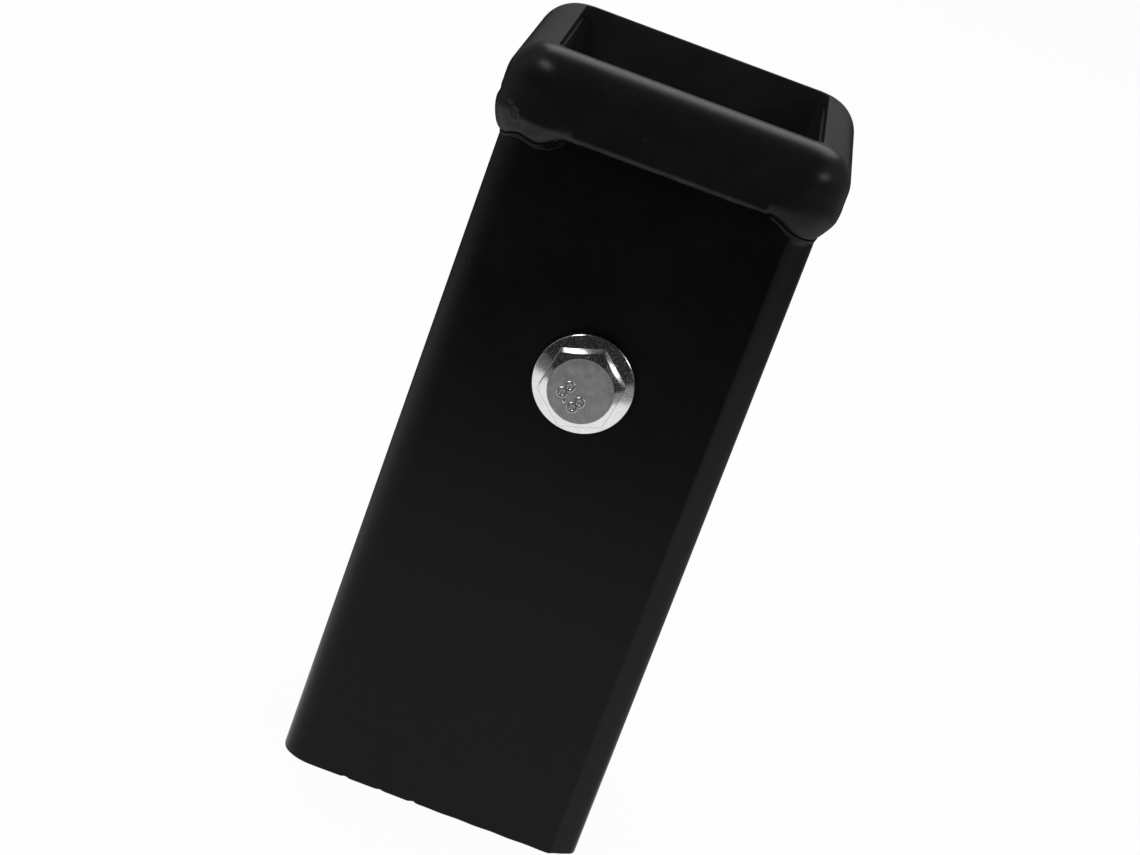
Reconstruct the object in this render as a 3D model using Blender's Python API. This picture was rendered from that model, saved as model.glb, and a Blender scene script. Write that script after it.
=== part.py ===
"""Weld-on receiver tube: a square steel tube with a rounded mouth collar welded on at its corners, and a
flange bolt with its nut through the pin holes.

The tube stands on its sawn end. X runs across the width, the bolt's head faces -Y and +Z points out of the
mouth. The origin is the middle of the bottom of the whole part's box: the bolt reaches further at the back, so
the tube's axis stands a little in front of the origin. Lengths are in metres.
"""

import math

import bmesh
import bpy
from mathutils import Matrix, Vector

MM = 0.001

# Gap between pieces that touch, and the distance under which points are one
SEAT_GAP = 0.3 * MM
MERGE_DISTANCE = 0.001 * MM

# Square tube
TUBE_WIDTH = 63.5 * MM
TUBE_WALL = 5.5 * MM
TUBE_LENGTH = 152.4 * MM
TUBE_OUTER_CORNER = 6.5 * MM
TUBE_INNER_CORNER = 1.8 * MM
CORNER_SEGMENTS = 10

# Mouth collar: a skirt round the tube's end, with a lip turned in over it
SKIRT_THICKNESS = 2.45 * MM
COLLAR_HEIGHT = 14.65 * MM
LIP_THICKNESS = 2.6 * MM
LIP_SETBACK = 0.35 * MM
OPENING_CORNER = 2.1 * MM
LOWER_EDGE_RADIUS = 1.2 * MM
RIM_SEGMENTS = 12
EDGE_SEGMENTS = 5

# Weld beads round the corners: the leg runs down the tube, the wrap laps up over the collar's lower edge,
# and the run goes on along each face past the corner
BEAD_RUN = 6.2 * MM
BEAD_LEG = 3.4 * MM
BEAD_WRAP = 2.9 * MM
BEAD_CROWN_SHARE = 0.3
BEAD_RIPPLE_SHARE = 0.14
BEAD_SECTIONS = 44
BEAD_WRAP_POINTS = 5
BEAD_CROWN_POINTS = 9

# Each bead: quarter turns from the +X +Y corner, shares of the run on both sides, lobes, lobe phase
BEADS = {
    "weld_bead_back_right": (0, 0.9, 0.8, 2.6, 0.6),
    "weld_bead_back_left": (1, 0.85, 0.95, 3.2, 2.1),
    "weld_bead_front_left": (2, 0.9, 1.0, 3.6, 1.1),
    "weld_bead_front_right": (3, 0.7, 0.95, 2.2, 2.9),
}

# Flange bolt through the pin holes
BOLT_FROM_END = 56.0 * MM
SHANK_DIAMETER = 9.85 * MM
HOLE_CLEARANCE = 0.35 * MM
HEX_ACROSS_FLATS = 14.6 * MM
HEX_ACROSS_CORNERS = 16.6 * MM
HEX_TOP_DIAMETER = 13.0 * MM
HEAD_HEIGHT = 6.4 * MM
FLANGE_DIAMETER = 20.0 * MM
FLANGE_EDGE = 1.2 * MM
FLANGE_SLOPE = math.radians(25)
CHAMFER_SLOPE = math.radians(30)
NUT_HEIGHT = 9.7 * MM
BOLT_TIP = 1.2 * MM
TIP_CHAMFER = 1.0 * MM
FLANGE_TOP_SHARE = 0.9
HEAD_TURN = math.radians(18)
NUT_TURN = math.radians(41)
TURNED_SEGMENTS = 48

# Places worked out from the sizes above
TUBE_HALF = TUBE_WIDTH / 2
BORE_HALF = TUBE_HALF - TUBE_WALL
OPENING_HALF = BORE_HALF + LIP_SETBACK
SKIRT_BORE_HALF = TUBE_HALF + SEAT_GAP
COLLAR_HALF = SKIRT_BORE_HALF + SKIRT_THICKNESS
RIM_RADIUS = COLLAR_HALF - OPENING_HALF
LIP_UNDERSIDE = TUBE_LENGTH + SEAT_GAP
MOUTH = LIP_UNDERSIDE + LIP_THICKNESS
COLLAR_BOTTOM = MOUTH - COLLAR_HEIGHT
BOLT_HEIGHT = TUBE_LENGTH - BOLT_FROM_END
FLANGE_TOP_RADIUS = HEX_ACROSS_FLATS / 2 * FLANGE_TOP_SHARE
HEAD_SEAT = TUBE_HALF + SEAT_GAP
SHANK_LENGTH = 2 * HEAD_SEAT + NUT_HEIGHT + BOLT_TIP
AXIS_Y = (HEAD_HEIGHT - NUT_HEIGHT - BOLT_TIP) / 2

BLACK_PAINT = ("black_powder_coat", (0.010, 0.010, 0.011), 0.32, 0.0)
ZINC = ("bright_zinc", (0.62, 0.63, 0.64), 0.28, 1.0)


def new_object(name, mesh, finish=None):
    """Link a mesh made round the tube's axis as a named object, with its own material if it has a finish."""
    part = bpy.data.objects.new(name, mesh)
    part.location = (0, AXIS_Y, 0)
    bpy.context.collection.objects.link(part)
    if finish:
        label, colour, roughness, metallic = finish
        material = bpy.data.materials.new(f"{name}_{label}")
        material.use_nodes = True
        shader = material.node_tree.nodes["Principled BSDF"]
        shader.inputs["Base Color"].default_value = (*colour, 1)
        shader.inputs["Roughness"].default_value = roughness
        shader.inputs["Metallic"].default_value = metallic
        mesh.materials.append(material)
        mesh.shade_smooth()
        mesh.set_sharp_from_angle(angle=math.radians(35))
    return part


def finish_mesh(bm, name):
    """Turn the faces outwards and write the mesh."""
    bmesh.ops.recalc_face_normals(bm, faces=bm.faces)
    mesh = bpy.data.meshes.new(name)
    bm.to_mesh(mesh)
    bm.free()
    return mesh


def combine(part, other, operation):
    """Boolean another object into the part, and hide that object."""
    modifier = part.modifiers.new(other.name, "BOOLEAN")
    modifier.operation = operation
    modifier.solver = "EXACT"
    modifier.object = other
    other.hide_render = True
    other.display_type = "WIRE"


def rounded_bar(name, half_width, corner, low, high):
    """A square bar along Z with its four long edges rounded."""
    bm = bmesh.new()
    size = Matrix.Diagonal((2 * half_width, 2 * half_width, high - low, 1))
    bmesh.ops.create_cube(bm, size=1, matrix=Matrix.Translation((0, 0, (low + high) / 2)) @ size)
    upright = [e for e in bm.edges if abs(e.verts[0].co.z - e.verts[1].co.z) > (high - low) / 2]
    bmesh.ops.bevel(
        bm, geom=upright, offset=corner, segments=CORNER_SEGMENTS, profile=0.5, affect="EDGES"
    )
    return finish_mesh(bm, name)


def turned(name, profile):
    """A solid turned about Z from a profile of (radius, height) points that starts and ends on the axis."""
    bm = bmesh.new()
    points = [bm.verts.new((radius, 0, height)) for radius, height in profile]
    edges = [bm.edges.new(pair) for pair in zip(points, points[1:])]
    bmesh.ops.spin(
        bm, geom=points + edges, axis=(0, 0, 1), cent=(0, 0, 0), angle=2 * math.pi,
        steps=TURNED_SEGMENTS, use_merge=True,
    )
    bmesh.ops.remove_doubles(bm, verts=bm.verts, dist=MERGE_DISTANCE)
    return finish_mesh(bm, name)


def hexagon_bar(name, low, high, turn):
    """A hexagonal prism along Z, as wide across its flats as the spanner."""
    bm = bmesh.new()
    radius = HEX_ACROSS_FLATS / 2 / math.cos(math.radians(30))
    place = Matrix.Translation((0, 0, (low + high) / 2)) @ Matrix.Rotation(turn, 4, "Z")
    bmesh.ops.create_cone(
        bm, cap_ends=True, segments=6, radius1=radius, radius2=radius, depth=high - low, matrix=place
    )
    return finish_mesh(bm, name)


def quarter_turn(steps):
    """Angles of a quarter circle, from 0 to 90 degrees."""
    return [math.pi / 2 * i / steps for i in range(steps + 1)]


def rounded_square(half_width, corner, height):
    """Points round a square with rounded corners, counter-clockwise from above."""
    points = []
    for quadrant in range(4):
        turn = Matrix.Rotation(quadrant * math.pi / 2, 3, "Z")
        for angle in quarter_turn(CORNER_SEGMENTS):
            x = half_width - corner + corner * math.cos(angle)
            y = half_width - corner + corner * math.sin(angle)
            points.append(turn @ Vector((x, y, height)))
    return points


def skin(bm, loops, close):
    """Quads between each loop of points and the next, and from the last to the first if close is true."""
    rows = [[bm.verts.new(point) for point in loop] for loop in loops]
    pairs = list(zip(rows, rows[1:])) + ([(rows[-1], rows[0])] if close else [])
    for row, after in pairs:
        for i in range(len(row)):
            j = (i + 1) % len(row)
            bm.faces.new((row[i], row[j], after[j], after[i]))
    return rows


def add_receiver_tube():
    """The tube: an outer bar less its bore and the cross hole for the bolt."""
    outer = rounded_bar("receiver_tube", TUBE_HALF, TUBE_OUTER_CORNER, 0, TUBE_LENGTH)
    tube = new_object("receiver_tube", outer, BLACK_PAINT)
    past = TUBE_WALL
    bore = rounded_bar("tube_bore", BORE_HALF, TUBE_INNER_CORNER, -past, TUBE_LENGTH + past)
    combine(tube, new_object("tube_bore", bore), "DIFFERENCE")
    radius = SHANK_DIAMETER / 2 + HOLE_CLEARANCE
    reach = TUBE_HALF + past
    hole = turned("pin_holes", [(0, -reach), (radius, -reach), (radius, reach), (0, reach)])
    cutter = new_object("pin_holes", hole)
    cutter.location = (0, AXIS_Y, BOLT_HEIGHT)
    cutter.rotation_euler = (math.radians(-90), 0, 0)
    combine(tube, cutter, "DIFFERENCE")


def collar_section():
    """The collar's section, as (half width, corner radius, height), from the opening's lower edge upwards."""
    centre = OPENING_HALF - OPENING_CORNER
    section = [(OPENING_HALF, OPENING_CORNER, LIP_UNDERSIDE)]
    for angle in quarter_turn(RIM_SEGMENTS):
        half = OPENING_HALF + RIM_RADIUS * math.sin(angle)
        section.append((half, half - centre, MOUTH - RIM_RADIUS * (1 - math.cos(angle))))
    for angle in quarter_turn(EDGE_SEGMENTS):
        half = COLLAR_HALF - LOWER_EDGE_RADIUS * (1 - math.cos(angle))
        height = COLLAR_BOTTOM + LOWER_EDGE_RADIUS * (1 - math.sin(angle))
        section.append((half, half - centre, height))
    skirt_corner = TUBE_OUTER_CORNER + SEAT_GAP
    section.append((SKIRT_BORE_HALF, skirt_corner, COLLAR_BOTTOM))
    section.append((SKIRT_BORE_HALF, skirt_corner, LIP_UNDERSIDE))
    return section


def add_mouth_collar():
    """The collar: its section carried round the tube's end."""
    bm = bmesh.new()
    skin(bm, [rounded_square(*station) for station in collar_section()], close=True)
    new_object("mouth_collar", finish_mesh(bm, "mouth_collar"), BLACK_PAINT)


def corner_station(distance, half_width, corner):
    """Point and outward direction at a distance along the +X +Y corner, measured from its middle."""
    arc = corner * math.pi / 4
    if abs(distance) <= arc:
        angle = math.pi / 4 + distance / corner
        outward = Vector((math.cos(angle), math.sin(angle), 0))
        centre = Vector((half_width - corner, half_width - corner, 0))
        return centre + corner * outward, outward
    beyond = abs(distance) - arc
    if distance > 0:
        return Vector((half_width - corner - beyond, half_width, 0)), Vector((0, 1, 0))
    return Vector((half_width, half_width - corner - beyond, 0)), Vector((1, 0, 0))


def bead_size(share, lobes, phase):
    """The bead's size at a share of its length from -1 to 1: full in the middle, rippled, thin at the ends."""
    taper = (1 - abs(share) ** 3.2) ** 0.5
    ripple = 1 + BEAD_RIPPLE_SHARE * math.sin(lobes * math.pi * share + phase)
    return (0.16 + 0.84 * taper) * ripple / (1 + BEAD_RIPPLE_SHARE)


def under_collar(length):
    """Point and facing, as (outward, down) from the bead's root, at a length along the collar's lower edge."""
    flat = SKIRT_THICKNESS - LOWER_EDGE_RADIUS
    radius = LOWER_EDGE_RADIUS + SEAT_GAP
    angle = min(max(0, length - flat) / radius, math.pi / 2)
    out = min(length, flat) + radius * math.sin(angle)
    return Vector((out, radius * (math.cos(angle) - 1))), Vector((math.sin(angle), math.cos(angle)))


def bead_section(size):
    """The bead's section, as (outward, down) from its root: along the collar's edge, then its crown."""
    wrap, leg = BEAD_WRAP * size, BEAD_LEG * size
    points = [under_collar(wrap * i / BEAD_WRAP_POINTS)[0] for i in range(BEAD_WRAP_POINTS + 1)]
    start, facing = under_collar(wrap)
    toe = Vector((0, leg))
    first = start + BEAD_CROWN_SHARE * leg * facing
    second = toe + Vector((BEAD_CROWN_SHARE * 2 * wrap, 0))
    for i in range(1, BEAD_CROWN_POINTS + 1):
        t = i / BEAD_CROWN_POINTS
        u = 1 - t
        points.append(u**3 * start + 3 * u * u * t * first + 3 * u * t * t * second + t**3 * toe)
    return points


def add_weld_bead(name, quadrant, share_before, share_after, lobes, phase):
    """A fillet weld carried round one corner of the tube, from its run on one face to that on the next."""
    corner = TUBE_OUTER_CORNER + SEAT_GAP
    arc = corner * math.pi / 4
    top = COLLAR_BOTTOM - SEAT_GAP
    turn = Matrix.Rotation(quadrant * math.pi / 2, 3, "Z")
    loops = []
    for i in range(BEAD_SECTIONS + 1):
        share = 2 * i / BEAD_SECTIONS - 1
        distance = share * (arc + BEAD_RUN * (share_after if share > 0 else share_before))
        root, outward = corner_station(distance, SKIRT_BORE_HALF, corner)
        section = bead_section(bead_size(share, lobes, phase))
        loops.append([turn @ (root + out * outward + Vector((0, 0, top - down))) for out, down in section])
    bm = bmesh.new()
    rows = skin(bm, loops, close=False)
    bm.faces.new(rows[0])
    bm.faces.new(rows[-1])
    new_object(name, finish_mesh(bm, name), BLACK_PAINT)


def hexagon_envelope(name, low, high):
    """The turned shape that rounds a hexagon's corners and chamfers its far face."""
    outer = HEX_ACROSS_CORNERS / 2
    top = HEX_TOP_DIAMETER / 2
    shoulder = high - (outer - top) * math.tan(CHAMFER_SLOPE)
    return new_object(name, turned(name, [(0, low), (outer, low), (outer, shoulder), (top, high), (0, high)]))


def flange_outline():
    """Points of a flange that sits on height 0: its edge, then its slope up to inside the hexagon."""
    outer = FLANGE_DIAMETER / 2
    eased = FLANGE_EDGE / 4
    rise = (outer - FLANGE_TOP_RADIUS) * math.tan(FLANGE_SLOPE)
    return [
        (outer - eased, 0), (outer, eased), (outer, FLANGE_EDGE - eased), (outer - eased, FLANGE_EDGE),
        (FLANGE_TOP_RADIUS, FLANGE_EDGE + rise), (0, FLANGE_EDGE + rise),
    ]


def add_flange_bolt():
    """The bolt, made standing on its flange with the head up and the shank down, then laid along Y."""
    hexagon = hexagon_bar("flange_bolt", FLANGE_EDGE, HEAD_HEIGHT, HEAD_TURN)
    bolt = new_object("flange_bolt", hexagon, ZINC)
    combine(bolt, hexagon_envelope("head_envelope", 0, HEAD_HEIGHT), "INTERSECT")
    radius = SHANK_DIAMETER / 2
    profile = [(0, -SHANK_LENGTH), (radius - TIP_CHAMFER, -SHANK_LENGTH)]
    profile += [(radius, -SHANK_LENGTH + TIP_CHAMFER), (radius, 0)]
    profile += flange_outline()
    combine(bolt, new_object("bolt_flange_and_shank", turned("bolt_flange_and_shank", profile)), "UNION")
    lay_on_axis(bolt, -1)


def add_flange_nut():
    """The nut, made standing on its flange, then laid along Y against the tube's back."""
    hexagon = hexagon_bar("flange_nut", FLANGE_EDGE, NUT_HEIGHT, NUT_TURN)
    nut = new_object("flange_nut", hexagon, ZINC)
    combine(nut, hexagon_envelope("nut_envelope", 0, NUT_HEIGHT), "INTERSECT")
    combine(nut, new_object("nut_flange", turned("nut_flange", [(0, 0)] + flange_outline())), "UNION")
    radius = SHANK_DIAMETER / 2 + SEAT_GAP
    lead = TIP_CHAMFER / 2
    past = FLANGE_EDGE
    bore = [(0, -past), (radius + lead + past, -past), (radius, lead)]
    bore += [(radius, NUT_HEIGHT - lead), (radius + lead + past, NUT_HEIGHT + past), (0, NUT_HEIGHT + past)]
    combine(nut, new_object("nut_bore", turned("nut_bore", bore)), "DIFFERENCE")
    lay_on_axis(nut, 1)


def lay_on_axis(part, side):
    """Lay a fastener and the shapes it is made with along Y, its flange on the tube's front or back."""
    place = Matrix.Translation((0, AXIS_Y + side * HEAD_SEAT, BOLT_HEIGHT))
    place = place @ Matrix.Rotation(side * math.radians(-90), 4, "X")
    for piece in [part] + [modifier.object for modifier in part.modifiers]:
        piece.matrix_world = place


for old in list(bpy.data.objects):
    bpy.data.objects.remove(old, do_unlink=True)

add_receiver_tube()
add_mouth_collar()
for bead, sizes in BEADS.items():
    add_weld_bead(bead, *sizes)
add_flange_bolt()
add_flange_nut()
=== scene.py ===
"""Looks of the weld-on receiver tube: black powder coat over the tube, its mouth collar and the weld beads,
and bright zinc on the flange bolt and nut.

Every new piece is a surface worked out with numpy: a section carried round the tube's rounded square, or
turned about the bolt's axis with the hexagon's own radius. Lengths are in metres. Pieces are worked out round
the tube's axis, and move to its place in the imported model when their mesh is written.
"""

import math

import bmesh
import bpy
import numpy as np
from mathutils import Matrix, Vector


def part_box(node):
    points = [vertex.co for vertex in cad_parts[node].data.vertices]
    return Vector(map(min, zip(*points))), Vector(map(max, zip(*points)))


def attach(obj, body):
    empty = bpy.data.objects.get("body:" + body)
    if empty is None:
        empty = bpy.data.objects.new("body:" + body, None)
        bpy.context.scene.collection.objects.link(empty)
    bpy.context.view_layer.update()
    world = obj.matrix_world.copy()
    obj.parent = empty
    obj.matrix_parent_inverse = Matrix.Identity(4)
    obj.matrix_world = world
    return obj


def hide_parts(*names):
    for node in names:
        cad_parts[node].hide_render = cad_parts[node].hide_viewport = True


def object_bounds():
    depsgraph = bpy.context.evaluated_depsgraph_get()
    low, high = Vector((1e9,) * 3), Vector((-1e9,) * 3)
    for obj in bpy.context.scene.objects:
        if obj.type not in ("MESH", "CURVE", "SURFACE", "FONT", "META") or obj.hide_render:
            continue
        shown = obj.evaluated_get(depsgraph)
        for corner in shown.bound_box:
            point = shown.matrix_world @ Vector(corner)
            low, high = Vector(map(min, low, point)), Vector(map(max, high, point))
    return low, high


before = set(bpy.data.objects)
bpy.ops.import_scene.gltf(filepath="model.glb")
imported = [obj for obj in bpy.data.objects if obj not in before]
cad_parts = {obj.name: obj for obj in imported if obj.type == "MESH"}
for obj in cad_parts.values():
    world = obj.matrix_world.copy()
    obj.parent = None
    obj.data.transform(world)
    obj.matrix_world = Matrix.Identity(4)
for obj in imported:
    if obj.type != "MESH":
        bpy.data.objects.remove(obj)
cad_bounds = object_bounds()

MM = 0.001

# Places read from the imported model
TUBE_LOW, TUBE_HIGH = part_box("receiver_tube")
COLLAR_LOW, COLLAR_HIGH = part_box("mouth_collar")
BOLT_LOW, BOLT_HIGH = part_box("flange_bolt")
NUT_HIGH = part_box("flange_nut")[1]
AXIS_Y = (TUBE_LOW.y + TUBE_HIGH.y) / 2
TUBE_HALF = TUBE_HIGH.x
TUBE_TOP = TUBE_HIGH.z
COLLAR_HALF = COLLAR_HIGH.x
MOUTH = COLLAR_HIGH.z
COLLAR_BOTTOM = COLLAR_LOW.z
BOLT_HEIGHT = (BOLT_LOW.z + BOLT_HIGH.z) / 2
FLANGE_RADIUS = (BOLT_HIGH.z - BOLT_LOW.z) / 2

# Sizes repeated from the construction
SEAT_GAP = 0.3 * MM
TUBE_WALL = 5.5 * MM
TUBE_CORNER = 6.5 * MM
BORE_CORNER = 1.8 * MM
LIP_SETBACK = 0.35 * MM
OPENING_CORNER = 2.1 * MM
COLLAR_EDGE = 1.2 * MM
HOLE_RADIUS = 5.275 * MM
SHANK_RADIUS = 4.925 * MM
HEX_FLATS = 14.6 * MM
HEX_TOP = 13.0 * MM
FLANGE_EDGE = 1.2 * MM
FLANGE_SLOPE = math.radians(25)
CHAMFER_SLOPE = math.radians(30)
HEAD_TURN = math.radians(18)
NUT_TURN = math.radians(41)
BORE_HALF = TUBE_HALF - TUBE_WALL
OPENING_HALF = BORE_HALF + LIP_SETBACK
LIP_UNDERSIDE = TUBE_TOP + SEAT_GAP
SKIRT_BORE = TUBE_HALF + SEAT_GAP
RIM_RADIUS = COLLAR_HALF - OPENING_HALF
COLLAR_CENTRE = OPENING_HALF - OPENING_CORNER
TUBE_CENTRE = TUBE_HALF - TUBE_CORNER
HEAD_SEAT = TUBE_HALF + SEAT_GAP
HEAD_HEIGHT = AXIS_Y - HEAD_SEAT - BOLT_LOW.y
NUT_HEIGHT = NUT_HIGH.y - AXIS_Y - HEAD_SEAT
SHANK_LENGTH = BOLT_HIGH.y - AXIS_Y + HEAD_SEAT

# Thread of the bolt, with its rows in a pitch and the slope and width of its groove, and bore of the nut
THREAD_PITCH = 1.5 * MM
THREAD_DEPTH = 0.8 * MM
THREAD_RUN = 30.0 * MM
THREAD_ROWS = 12
GROOVE_SHAPE = (1.25, 0.15)
TIP_CHAMFER = 1.0 * MM
NUT_LEAD = 0.8 * MM
NUT_PLAY = 0.03 * MM

# How finely the surfaces are worked out. Shares are stations along half a side of the square
TUBE_SHARES = np.linspace(0, 0.985, 46)
COLLAR_SHARES = np.append([0, 0.2, 0.4, 0.54], np.linspace(0.58, 0.994, 42))
CORNER_STEPS = 64
ARC_STEPS = 6
LIP_STEPS = 6
RIM_STEPS = 25
EDGE_POINTS = 24
CROWN_ROWS = 46
SLOPE_ROWS = 9
EDGE_ROWS = 9
FACE_ROWS = 3
DISC_ROWS = 6
PLAIN_ROWS = 7
ROUND_COLUMNS = 96
HEX_COLUMNS = 384
MARK_COLUMNS = 72
STROKE_ROWS = 25
DOT_COLUMNS = 32
DOT_ROWS = 13

# A flat starts at so many times the length of the arc's tangent from the corner, and of the lip's rounding.
# Then limits: sides that count as one line, points that merge, edges that stay sharp, and a sum above zero
BEYOND_ARC = 1.3
BEYOND_LIP = 1.4
STRAIGHT = 0.9999
MERGE_DISTANCE = 0.0004 * MM
SHARP_EDGE = math.radians(38)
LEAST = 1e-9

# Roundings of the tube: its foot outside, its top outside and inside, and its foot inside. Then the lip's,
# its back lower edge's, the seam left under it, and those of the head, the nut's bore and the hexagon
TUBE_EASES = [0.35 * MM, 0.3 * MM, 0.01 * MM, 0.25 * MM]
LIP_EASE = 0.3 * MM
SEAM_EASE = 0.01 * MM
PAINTED_SEAM = 0.02 * MM
HEAD_EASES = [0.1 * MM, 0.12 * MM, 0.3 * MM, 0.42 * MM, 0.25 * MM]
BORE_EASES = [0.1 * MM, 0.1 * MM, 0.1 * MM, 0.15 * MM]
HEX_EASING = 50

# Sawn end: height in mm and reach of its waves, and nicks along the front as place across and depth, in mm
SAW_RISE = 0.025
FOOT_FADE = 1.5 * MM
FRONT_SHARE = 0.98
NICK_WIDTH = 0.4
FOOT_NICKS = [(-17.5, 0.3), (-10.0, 0.22), (-2.9, 0.35)]

# Crease of the tube's front right corner: its distance from the side, the turn of the flat beyond it, how
# sharply it and the side's rounding are eased, and where it begins below the collar
CREASE_START = 5.1 * MM
CREASE_TURN = math.radians(36)
CREASE_EASING = 80
SIDE_EASING = 12
CREASE_TOP = COLLAR_BOTTOM - 3.0 * MM
CREASE_FADE = 2.0 * MM

# All welds, in mm: where the crown starts above the collar's edge, how far its ends and its relief take to
# rise, how far the relief's direction turns down, the toe that goes with a full shoulder, and its lift
BEAD_TOP = 4.3
BEAD_END = 1.0
BEAD_FADE = 0.6
BEAD_LEAN = math.radians(70)
FULL_TOE = 2.4
TOE_LIFT = 0.18

# The welds one by one, back right, back left, front left and front right, in mm. Places are distances
# along the corner, and toes and crests lie so far below the collar's edge there: the toe ends the crown,
# and the crest is the paint's own edge on the tube. Then the crown's shoulder and belly, lumps (along,
# above the edge, length, width, rise) and craters (along, above, radius, rise)
CORNER_BEADS = [
    {"places": (-12.4, -10.0, -6.0, -1.0, 4.0, 8.5, 12.2), "toes": (0.2, 2.2, 3.2, 2.7, 3.3, 2.6, 0.2),
     "crests": (0.9, 3.0, 4.1, 3.7, 4.2, 3.5, 0.9), "shoulder": (0.55, 0.9), "belly": (-0.4, 0.55),
     "lumps": [(-6.0, -0.6, 1.8, 1.1, 0.2), (0.5, -0.8, 2.2, 1.0, 0.16), (6.5, -0.5, 1.9, 1.1, 0.2)],
     "craters": []},
    {"places": (-12.0, -9.5, -5.0, 0.0, 5.0, 9.0, 12.6), "toes": (0.2, 2.6, 2.9, 3.3, 2.7, 2.4, 0.2),
     "crests": (0.9, 3.5, 3.8, 4.2, 3.6, 3.2, 0.9), "shoulder": (0.55, 0.9), "belly": (-0.4, 0.55),
     "lumps": [(-7.0, -0.8, 1.9, 1.1, 0.22), (-1.0, -0.6, 1.9, 1.1, 0.15), (5.0, -0.9, 2.1, 1.1, 0.2)],
     "craters": [(3.0, 1.6, 1.1, 0.1)]},
    {"places": (-13.0, -9.5, -4.4, -0.3, 2.1, 4.3, 7.2, 9.4, 11.0, 12.2, 13.4, 14.6),
     "toes": (0.3, 2.6, 4.1, 3.9, 3.2, 2.85, 3.2, 3.2, 2.3, 1.5, 1.0, 0.8),
     "crests": (1.2, 3.6, 4.95, 4.5, 3.95, 3.75, 4.15, 4.35, 3.9, 3.3, 2.35, 1.4),
     "shoulder": (0.45, 0.75), "belly": (-0.6, 0.95),
     "lumps": [(7.2, 0.35, 2.3, 0.8, 0.28), (8.0, -2.0, 1.6, 0.45, 0.06), (3.4, -1.2, 0.9, 0.9, -0.1),
               (-7.5, 2.7, 2.6, 0.55, -0.26), (-4.6, 0.5, 2.6, 1.2, 0.16), (0.2, 2.0, 1.2, 0.35, -0.06),
               (1.4, 2.7, 1.0, 0.35, 0.12), (2.7, 2.3, 0.6, 0.3, 0.1), (2.35, 1.2, 0.95, 0.8, 0.2)],
     "craters": [(2.35, 0.85, 1.3, 0.13), (3.1, 0.5, 0.5, 0.07)]},
    {"places": (-11.9, -10.9, -9.3, -7.8, -5.0, -2.4, 1.0, 4.5, 8.0, 11.8),
     "toes": (0.45, 0.65, 1.2, 1.9, 2.45, 2.9, 3.1, 3.0, 2.3, 0.2),
     "crests": (0.9, 1.1, 1.8, 2.75, 3.45, 3.75, 3.9, 3.8, 3.1, 0.9),
     "shoulder": (0.3, 1.3), "belly": (-0.9, 0.32),
     "lumps": [(-3.5, -0.4, 3.0, 1.2, 0.08), (5.0, 0.9, 2.5, 0.9, 0.12), (9.3, 2.9, 0.35, 0.35, 0.12)],
     "craters": []},
]

# Paint of the welds, in mm: fine ripples, the ring round a crater, the notch below the toe, the slope of
# paint with its edge, the coat on the tube, and the rough pit where the slope is long
RIPPLE_RISE = 0.007
RING_WIDTH = 0.27
RING_DIP = 1.1
NOTCH_DEPTH = 0.16
EDGE_DEPTH = 0.34
PAINT_SLOPE = 0.26
PAINT_COAT = 0.06
PIT_LENGTH = (0.85, 1.2)
PIT_ROUGHNESS = 0.09

# How far the front's plain lower edge sags at its left and right end, in mm, and the turn of the outward
# direction over which a column counts as front or back
EDGE_SAG = (0.75, 0.35)
FACING_TURN = (0.6, 0.9)

# Raised strength class on the bolt's head: middles of the loops of the two eights and of the dot, in mm from
# the bolt's axis across and up
MARK_LOOPS = [(-3.2, -1.35), (-2.2, 0.2), (-0.45, -3.55), (0.55, -2.15)]
MARK_DOT = (-2.3, -2.9)
MARK_LOOP = 0.79 * MM
MARK_STROKE = 0.40 * MM
MARK_SIDES = 0.75
MARK_RISE = 0.26 * MM
RING_HEIGHT = 0.95 * MARK_RISE
DOT_RADIUS = 0.38 * MM
DOT_HEIGHT = 0.6 * DOT_RADIUS
DISC_FACE = -HEAD_SEAT - HEAD_HEIGHT + MARK_RISE

# Grey of the tube's black paint, how much paler the collar and the bore are, how much a painted highlight
# lightens the collar's lower edge, how much paler dust makes specks, how far the mottle swings it, and how
# rough and shiny it is
TUBE_BLACK = 0.0034
COLLAR_PALENESS = 0.0045
EDGE_HIGHLIGHT = 0.018
BORE_PALENESS = 0.014
SPECK_DUST = 0.06
PAINT_MOTTLE = (0.8, 1.2)
PAINT_ROUGHNESS = (0.28, 0.33)
PAINT_SPECULAR = 0.15

# Where the paleness begins and ends: at the bore's wall and by height at the collar. Where the painted
# highlight on the collar's lower edge lies: by height, by the distance from the tube and by the place across,
# with the noise and the share of its patches
BORE_PALENESS_EDGE = (OPENING_HALF + 0.05 * MM, OPENING_HALF + 0.6 * MM)
COLLAR_PALENESS_EDGE = (COLLAR_BOTTOM - 1.5 * MM, COLLAR_BOTTOM + 1.5 * MM)
EDGE_HIGHLIGHT_RISE = (COLLAR_BOTTOM + 0.1 * MM, COLLAR_BOTTOM + 0.9 * MM)
EDGE_HIGHLIGHT_CLEAR = (0.5 * MM, 1.0 * MM)
EDGE_HIGHLIGHT_END = (15 * MM, 19 * MM)
EDGE_HIGHLIGHT_NOISE = (0.38, 0.62)
EDGE_HIGHLIGHT_PATCHES = (0.45, 1.15)

# Relief of the paint, and the ring round the bolt that its flange pressed into it
PEEL_HEIGHT = 0.0012 * MM
WAVE_HEIGHT = 0.012 * MM
SPECK_HEIGHT = 0.02 * MM
PRESSED_HEIGHT = 0.012 * MM
PRESSED_RADIUS = 1.09 * FLANGE_RADIUS
PRESSED_EDGE = (0.1 * MM, 0.45 * MM)
PRESSED_NOISE = (0.50, 0.60)

# Patterns that both materials use: how crisp a speck's edge is, and the mottle's share of coarse noise
SPECK_CRISPNESS = 30.0
COARSE_SHARE = 0.65
MOTTLE_RANGE = (0.36, 0.64)
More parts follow.
